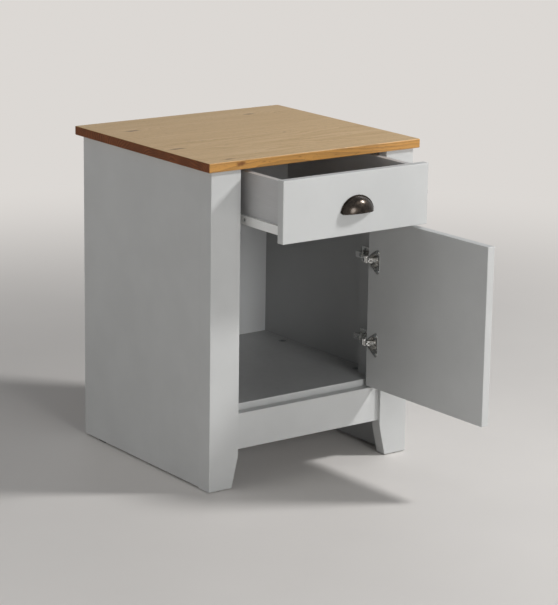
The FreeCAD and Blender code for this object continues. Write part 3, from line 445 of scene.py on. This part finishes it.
# Cast metal with an antique bronze patina under clear lacquer: near black brown, unevenly rubbed, with a
# sharp gloss
def antique_bronze(colours):
    material, tree, coords = new_material("antique_bronze")
    place = coords.outputs["Object"]
    patina = add(tree, "ShaderNodeTexNoise", {
        "Vector": place, "Scale": per_size(9), "Detail": 5.0, "Roughness": 0.6})
    tone = add(tree, "ShaderNodeValToRGB", {"Fac": patina.outputs["Fac"]},
               stops=[(0.3, tinted(colours.bronze, 0.6)), (0.55, colours.bronze[:]),
                      (0.75, tinted(colours.bronze, 1.6))])
    gloss = add(tree, "ShaderNodeMapRange", {
        "Value": patina.outputs["Fac"], **NOISE_SPAN, "To Min": 0.20, "To Max": 0.34})
    pits = add(tree, "ShaderNodeTexNoise", {"Vector": place, "Scale": per_size(1.2), "Detail": 2.0})
    bump = add(tree, "ShaderNodeBump", {
        "Height": pits.outputs["Fac"], "Strength": 0.06, "Distance": 0.15 * MM})
    shade(tree, {"Base Color": tone.outputs["Color"], "Metallic": 1.0, "Roughness": gloss.outputs["Result"],
                 "Normal": bump.outputs["Normal"], "Coat Weight": 0.25, "Coat Roughness": 0.12})
    return material


# Turned beech dowel: pale pinkish wood with the short dark flecks of its rays
def turned_beech(colours):
    material, tree, coords = new_material("turned_beech")
    short = add(tree, "ShaderNodeMapping", {"Vector": coords.outputs["Object"], "Scale": (1.0, 0.2, 1.0)})
    flecks = add(tree, "ShaderNodeTexNoise", {
        "Vector": short.outputs["Vector"], "Scale": per_size(1.0), "Detail": 3.0})
    tone = add(tree, "ShaderNodeValToRGB", {"Fac": flecks.outputs["Fac"]},
               stops=[(0.35, linear("#D3AF84")), (0.6, linear("#C49A6C")), (0.75, linear("#9C7046"))])
    bump = add(tree, "ShaderNodeBump", {
        "Height": flecks.outputs["Fac"], "Strength": 0.1, "Distance": 0.1 * MM})
    shade(tree, {"Base Color": tone.outputs["Color"], "Roughness": 0.6, "Normal": bump.outputs["Normal"],
                 "IOR": 1.5})
    return material


# Moulded dark polypropylene of the glides: matt, scuffed paler in patches
def glide_polypropylene(colours):
    material, tree, coords = new_material("glide_polypropylene")
    place = coords.outputs["Object"]
    scuff = add(tree, "ShaderNodeTexNoise", {"Vector": place, "Scale": per_size(2.0), "Detail": 5.0})
    tone = add(tree, "ShaderNodeValToRGB", {"Fac": scuff.outputs["Fac"]},
               stops=[(0.4, linear("#333333")), (0.6, linear("#3D3D3D")), (0.8, linear("#5A5A5A"))])
    bump = add(tree, "ShaderNodeBump", {
        "Height": scuff.outputs["Fac"], "Strength": 0.1, "Distance": 0.1 * MM})
    shade(tree, {"Base Color": tone.outputs["Color"], "Roughness": 0.55, "Normal": bump.outputs["Normal"],
                 "IOR": 1.49})
    return material


# The finish of each material slot in the record, and the CAD nodes that wear it. Every finish is called
# with the colour settings, and those in fixed colours make no use of them
FINISHES = {
    "oak": (oiled_knotty_oak, ("top_board",)),
    "grey_paint": (satin_grey_paint, (
        "left_side_panel", "right_side_panel", "left_front_leg", "right_front_leg", "bottom_rail",
        "drawer_front", "door_panel")),
    "grey_paint_inside": (grey_melamine, (
        "left_inner_side", "right_inner_side", "base_shelf", "hinge_cleat", "left_runner_packer",
        "right_runner_packer", "top_blocks")),
    "back_board": (printed_hardboard, ("back_panel",)),
    "drawer_board": (foil_drawer_board, (
        "drawer_left_side", "drawer_right_side", "drawer_back", "drawer_bottom")),
    "white_epoxy": (white_epoxy_steel, (
        "left_cabinet_runner", "right_cabinet_runner", "left_drawer_runner", "right_drawer_runner")),
    "roller_nylon": (moulded_nylon, (
        "left_front_roller", "right_front_roller", "left_rear_roller", "right_rear_roller")),
    "nickel": (satin_nickel, (
        "upper_hinge_arm", "lower_hinge_arm", "upper_hinge_link", "lower_hinge_link", "upper_hinge_plate",
        "lower_hinge_plate", "upper_hinge_cup", "lower_hinge_cup", "hinge_pins")),
    "zinc_steel": (zinc_plate, (
        "top_screws", "block_screws", "cabinet_runner_screws", "hinge_plate_screws", "hinge_arm_screws",
        "hinge_cup_screws", "drawer_runner_screws", "drawer_back_screws", "handle_screws",
        "back_panel_pins", "front_roller_axles", "rear_roller_axles", "knob_stud", "cam_bolts")),
    "cast_zinc": (die_cast_zinc, ("cam_locks",)),
    "antique_bronze": (antique_bronze, ("cup_handle", "door_knob")),
    "beech": (turned_beech, ("rail_dowels", "drawer_dowels")),
    "glide_plastic": (glide_polypropylene, ("rear_glides", "front_glides")),
}
# The materials by slot, once the finishes are made
MADE = {}


class LockerColours(bpy.types.PropertyGroup):
    """Colours of the finishes."""
    paint: bpy.props.FloatVectorProperty(
        name="Paint", description="Paint outside", subtype="COLOR", size=4, min=0, max=1,
        default=linear("#C6C7C6"))
    # Darker than the paint outside: painted shade for the cupboard's interior
    inside: bpy.props.FloatVectorProperty(
        name="Inside", description="Facing of the boards inside", subtype="COLOR", size=4, min=0, max=1,
        default=linear("#ADAEAE"))
    drawer: bpy.props.FloatVectorProperty(
        name="Drawer box", description="Foil on the drawer box", subtype="COLOR", size=4, min=0, max=1,
        default=linear("#C4C4C4"))
    wood_face: bpy.props.FloatVectorProperty(
        name="Wood face", description="Upper face of the top board", subtype="COLOR", size=4, min=0, max=1,
        default=linear("#D5B17C"))
    wood_edge: bpy.props.FloatVectorProperty(
        name="Wood edge", description="Long edges of the top board", subtype="COLOR", size=4, min=0, max=1,
        default=linear("#BC8A49"))
    wood_end: bpy.props.FloatVectorProperty(
        name="Wood end", description="End grain of the top board", subtype="COLOR", size=4, min=0, max=1,
        default=linear("#6F3A10"))
    runner: bpy.props.FloatVectorProperty(
        name="Runners", description="Epoxy on the drawer runners", subtype="COLOR", size=4, min=0, max=1,
        default=linear("#F8F8F6"))
    nickel: bpy.props.FloatVectorProperty(
        name="Hinges", description="Nickel plate on the hinges", subtype="COLOR", size=4, min=0, max=1,
        default=linear("#E0DFDC"))
    bronze: bpy.props.FloatVectorProperty(
        name="Handles", description="Patina of the cup handle and the knob", subtype="COLOR", size=4,
        min=0, max=1, default=linear("#3A332D"))


class LockerStage(bpy.types.PropertyGroup):
    """Floor, lamps and camera."""
    floor: bpy.props.FloatVectorProperty(
        name="Floor", description="Plain pale floor", subtype="COLOR", size=4, min=0, max=1,
        default=linear("#E4E0DC"))
    key_power: bpy.props.FloatProperty(
        name="Key lamp", description="Lamp from the front right", default=55.5, min=0.0, unit="POWER")
    front_power: bpy.props.FloatProperty(
        name="Front lamp", description="Broad lamp in front", default=42.0, min=0.0, unit="POWER")
    left_power: bpy.props.FloatProperty(
        name="Left lamp", description="Broad lamp on the left", default=13.5, min=0.0, unit="POWER")
    sky: bpy.props.FloatProperty(
        name="Sky", description="Even light from all round", default=0.12, min=0.0, max=2.0,
        subtype="FACTOR")
    lens: bpy.props.FloatProperty(
        name="Lens", description="Focal length of the camera in millimetres", default=136.40, min=10.0)


class LOCKER_OT_finish_boards(bpy.types.Operator):
    """Gives every CAD node its finish"""
    bl_idname = "locker.finish_boards"
    bl_label = "Finish boards and fittings"

    def execute(self, context):
        for slot, (make, nodes) in FINISHES.items():
            MADE[slot] = make(context.scene.locker_colours)
            for name in nodes:
                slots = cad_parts[name].material_slots
                if not slots:
                    raise RuntimeError(name + " has no material slot")
                for material_slot in slots:
                    material_slot.material = MADE[slot]
        return {"FINISHED"}


def only(obj):
    """Makes one object the whole selection."""
    bpy.ops.object.select_all(action="DESELECT")
    obj.select_set(True)
    bpy.context.view_layer.objects.active = obj


def bake_modifier(obj, kind, **settings):
    """Adds a modifier and applies it."""
    only(obj)
    modifier = obj.modifiers.new(kind, kind)
    for name, value in settings.items():
        setattr(modifier, name, value)
    bpy.ops.object.modifier_apply(modifier=modifier.name)


class LOCKER_OT_turn_screws(bpy.types.Operator):
    """Models one cross-recess screw for each group in sight and sets a copy at every screw of it"""
    bl_idname = "locker.turn_screws"
    bl_label = "Screws"

    def execute(self, context):
        for node, (body, way, head_radius, head_height, shank_radius) in SCREWS.items():
            places = self.find_screws(node, Vector(way), head_height * MM)
            if not places:
                raise RuntimeError(node + " holds no screws")
            seats, lengths = zip(*places)
            pattern = self.model_screw(
                head_radius * MM, head_height * MM, shank_radius * MM, lengths[0])
            turned = Vector((0, 0, -1)).rotation_difference(Vector(way)).to_matrix().to_4x4()
            for index, seat in enumerate(seats):
                screw = pattern.copy()
                screw.data = pattern.data.copy()
                screw.name = "%s_%d" % (node, index + 1)
                context.collection.objects.link(screw)
                driven = Matrix.Rotation(SCREW_TURN * index, 4, "Z")
                screw.matrix_world = Matrix.Translation(seat) @ turned @ driven
                only(screw)
                bpy.ops.object.transform_apply(location=True, rotation=True, scale=True)
                screw.data.materials.append(MADE["zinc_steel"])
                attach(screw, body)
                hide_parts(node)
            bpy.data.objects.remove(pattern)
        return {"FINISHED"}

    def find_screws(self, node, way, head_height):
        """Where each screw of a node has its seat, and how long its shank is."""
        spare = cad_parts[node].copy()
        spare.data = spare.data.copy()
        bpy.context.collection.objects.link(spare)
        only(spare)
        bpy.ops.object.mode_set(mode="EDIT")
        bpy.ops.mesh.select_all(action="SELECT")
        bpy.ops.mesh.remove_doubles(threshold=SAME_POINT)
        bpy.ops.mesh.separate(type="LOOSE")
        bpy.ops.object.mode_set(mode="OBJECT")
        places = []
        for piece in list(bpy.context.selected_objects):
            points = [vertex.co for vertex in piece.data.vertices]
            reach = [point.dot(way) for point in points]
            low, high = min(reach), max(reach)
            off_axis = [point - way * along for point, along in zip(points, reach)]
            centre = Vector([(min(values) + max(values)) / 2 for values in zip(*off_axis)])
            places.append((centre + way * (low + head_height), high - low - head_height))
            bpy.data.objects.remove(piece)
        return places

    def model_screw(self, head_radius, head_height, shank_radius, length):
        """A domed head on a pointed shank, its seat at the origin and its head upwards."""
        head = self.model_head(head_radius, head_height)
        shank = self.model_shank(shank_radius, length)
        only(head)
        shank.select_set(True)
        bpy.ops.object.join()
        bpy.ops.object.transform_apply(location=True, rotation=True, scale=True)
        bpy.ops.object.shade_smooth_by_angle(angle=SMOOTH_ANGLE)
        return head

    def model_head(self, radius, height):
        """A head with a rounded edge and a cross recess."""
        bpy.ops.object.select_all(action="DESELECT")
        bpy.ops.mesh.primitive_cylinder_add(
            vertices=HEAD_SIDES, radius=radius, depth=height, location=(0, 0, height / 2))
        head = bpy.context.object
        bake_modifier(head, "BEVEL", width=HEAD_ROUNDING * height, segments=4, limit_method="ANGLE")
        bpy.ops.object.select_all(action="DESELECT")
        bpy.ops.mesh.primitive_cube_add(size=1, location=(0, 0, height))
        cutter = bpy.context.object
        cutter.scale = (RECESS_LENGTH * radius, RECESS_WIDTH * radius, RECESS_CUTTER * height)
        bpy.ops.object.transform_apply(location=False, rotation=False, scale=True)
        for turn in (0.0, math.pi / 2):
            cutter.rotation_euler = (0, 0, turn)
            bpy.context.view_layer.update()
            bake_modifier(head, "BOOLEAN", object=cutter, operation="DIFFERENCE", solver="EXACT")
        bpy.data.objects.remove(cutter)
        return head

    def model_shank(self, radius, length):
        """A round shank whose end narrows to a blunt point over the length of its radius."""
        straight = length - radius
        bpy.ops.object.select_all(action="DESELECT")
        bpy.ops.mesh.primitive_cylinder_add(
            vertices=SHANK_SIDES, radius=radius, depth=straight, location=(0, 0, -straight / 2))
        shank = bpy.context.object
        bpy.ops.object.mode_set(mode="EDIT")
        bpy.ops.mesh.select_all(action="DESELECT")
        bpy.ops.object.mode_set(mode="OBJECT")
        for face in shank.data.polygons:
            face.select = face.normal.z < -0.9
        bpy.ops.object.mode_set(mode="EDIT")
        bpy.ops.mesh.inset(thickness=POINT_INSET * radius)
        bpy.ops.transform.translate(value=(0, 0, -radius))
        bpy.ops.object.mode_set(mode="OBJECT")
        return shank


class LOCKER_OT_stage(bpy.types.Operator):
    """Sets the floor, the lamps and the camera"""
    bl_idname = "locker.stage"
    bl_label = "Stage"

    def execute(self, context):
        stage = context.scene.locker_stage
        context.scene.view_settings.view_transform = "Standard"
        self.lay_floor(stage)
        for name, (setting, place, size) in LAMPS.items():
            self.hang_lamp(name, place, size, getattr(stage, setting))
        self.light_sky(context.scene, stage.sky)
        self.place_camera(context.scene, stage.lens)
        return {"FINISHED"}

    def lay_floor(self, stage):
        """A plain pale floor, faintly clouded."""
        bpy.ops.object.select_all(action="DESELECT")
        bpy.ops.mesh.primitive_circle_add(
            vertices=FLOOR_SIDES, radius=FLOOR_RADIUS, fill_type="NGON", location=(0, 0, 0))
        floor = bpy.context.object
        floor.name = "floor"
        material, tree, coords = new_material("pale_floor")
        place = coords.outputs["Object"]
        cloud = add(tree, "ShaderNodeTexNoise", {"Vector": place, "Scale": per_size(350), "Detail": 3.0})
        tone = add(tree, "ShaderNodeValToRGB", {"Fac": cloud.outputs["Fac"]},
                   stops=[(0.3, tinted(stage.floor, 0.98)), (0.7, tinted(stage.floor, 1.02))])
        near = add(tree, "ShaderNodeBsdfPrincipled", {
            "Base Color": tone.outputs["Color"], "Roughness": 0.55})
        # Away from the locker the floor keeps one pale tone instead of falling into the dark
        far = add(tree, "ShaderNodeEmission", {"Color": stage.floor[:], "Strength": FAR_FLOOR_STRENGTH})
        out = add(tree, "ShaderNodeVectorMath", {0: place}, operation="LENGTH")
        away = add(tree, "ShaderNodeMapRange", {"Value": out.outputs["Value"], **FLOOR_FADE},
                   interpolation_type="SMOOTHSTEP")
        part = add(tree, "ShaderNodeMath", {0: self.seen_directly(tree), 1: away.outputs["Result"]},
                   operation="MULTIPLY")
        mix = add(tree, "ShaderNodeMixShader", {
            0: part.outputs["Value"], 1: near.outputs["BSDF"], 2: far.outputs["Emission"]})
        add(tree, "ShaderNodeOutputMaterial", {"Surface": mix.outputs["Shader"]})
        floor.data.materials.append(material)

    def seen_directly(self, tree):
        """One where the camera, a mirror or glass looks at the background, and nought for its light."""
        path = add(tree, "ShaderNodeLightPath")
        mirrored = add(tree, "ShaderNodeMath", {
            0: path.outputs["Is Camera Ray"], 1: path.outputs["Is Glossy Ray"]},
            operation="ADD", use_clamp=True)
        seen = add(tree, "ShaderNodeMath", {
            0: mirrored.outputs["Value"], 1: path.outputs["Is Transmission Ray"]},
            operation="ADD", use_clamp=True)
        return seen.outputs["Value"]

    def hang_lamp(self, name, place, size, power):
        """A round lamp aimed at the locker."""
        aim = Vector(LAMP_AIM) - Vector(place)
        turn = aim.to_track_quat("-Z", "Y").to_euler()
        bpy.ops.object.select_all(action="DESELECT")
        bpy.ops.object.light_add(type="AREA", location=place, rotation=turn)
        lamp = bpy.context.object
        lamp.name = name
        lamp.data.shape = "DISK"
        lamp.data.size = size
        lamp.data.energy = power

    def light_sky(self, scene, strength):
        """Even light of this strength from all round, behind a background of one tone."""
        scene.world = scene.world or bpy.data.worlds.new("sky")
        scene.world.use_nodes = True
        tree = scene.world.node_tree
        tree.nodes.clear()
        level = add(tree, "ShaderNodeMapRange", {
            "Value": self.seen_directly(tree), "To Min": strength, "To Max": SKY_SEEN})
        sky = add(tree, "ShaderNodeBackground", {
            "Color": linear("#F4F6F8"), "Strength": level.outputs["Result"]})
        add(tree, "ShaderNodeOutputWorld", {"Surface": sky.outputs["Background"]})

    def place_camera(self, scene, lens):
        """The camera, turned by its yaw, then its pitch and its roll."""
        level = math.cos(CAMERA_PITCH)
        right = Vector((math.cos(CAMERA_YAW), math.sin(CAMERA_YAW), 0.0))
        ahead = Vector((
            -math.sin(CAMERA_YAW) * level, math.cos(CAMERA_YAW) * level, -math.sin(CAMERA_PITCH)))
        up = right.cross(ahead)
        side = right * math.cos(CAMERA_ROLL) + up * math.sin(CAMERA_ROLL)
        head = up * math.cos(CAMERA_ROLL) - right * math.sin(CAMERA_ROLL)
        bpy.ops.object.select_all(action="DESELECT")
        bpy.ops.object.camera_add()
        camera = bpy.context.object
        camera.name = "camera"
        camera.data.sensor_width = SENSOR_WIDTH
        camera.data.lens = lens
        turned = Matrix((side, head, -ahead)).transposed().to_4x4()
        camera.matrix_world = Matrix.Translation(CAMERA_PLACE) @ turned
        scene.camera = camera


class LOCKER_PT_panel(bpy.types.Panel):
    """Sidebar panel of the locker"""
    bl_idname = "LOCKER_PT_panel"
    bl_label = "Bedside Locker"
    bl_space_type = "VIEW_3D"
    bl_region_type = "UI"
    bl_category = "Locker"

    def draw(self, context):
        layout = self.layout
        for group in (context.scene.locker_colours, context.scene.locker_stage):
            box = layout.box()
            for name in group.__annotations__:
                box.prop(group, name)
        for operator in OPERATORS:
            layout.operator(operator.bl_idname)


GROUPS = {"locker_colours": LockerColours, "locker_stage": LockerStage}
OPERATORS = (LOCKER_OT_finish_boards, LOCKER_OT_turn_screws, LOCKER_OT_stage)
CLASSES = (*GROUPS.values(), *OPERATORS, LOCKER_PT_panel)


def register():
    for cls in CLASSES:
        bpy.utils.register_class(cls)
    for name, group in GROUPS.items():
        setattr(bpy.types.Scene, name, bpy.props.PointerProperty(type=group))


def unregister():
    for name in GROUPS:
        delattr(bpy.types.Scene, name)
    for cls in reversed(CLASSES):
        bpy.utils.unregister_class(cls)


def main():
    register()
    bpy.ops.locker.finish_boards()
    bpy.ops.locker.turn_screws()
    bpy.ops.locker.stage()


if __name__ == "__main__":
    main()
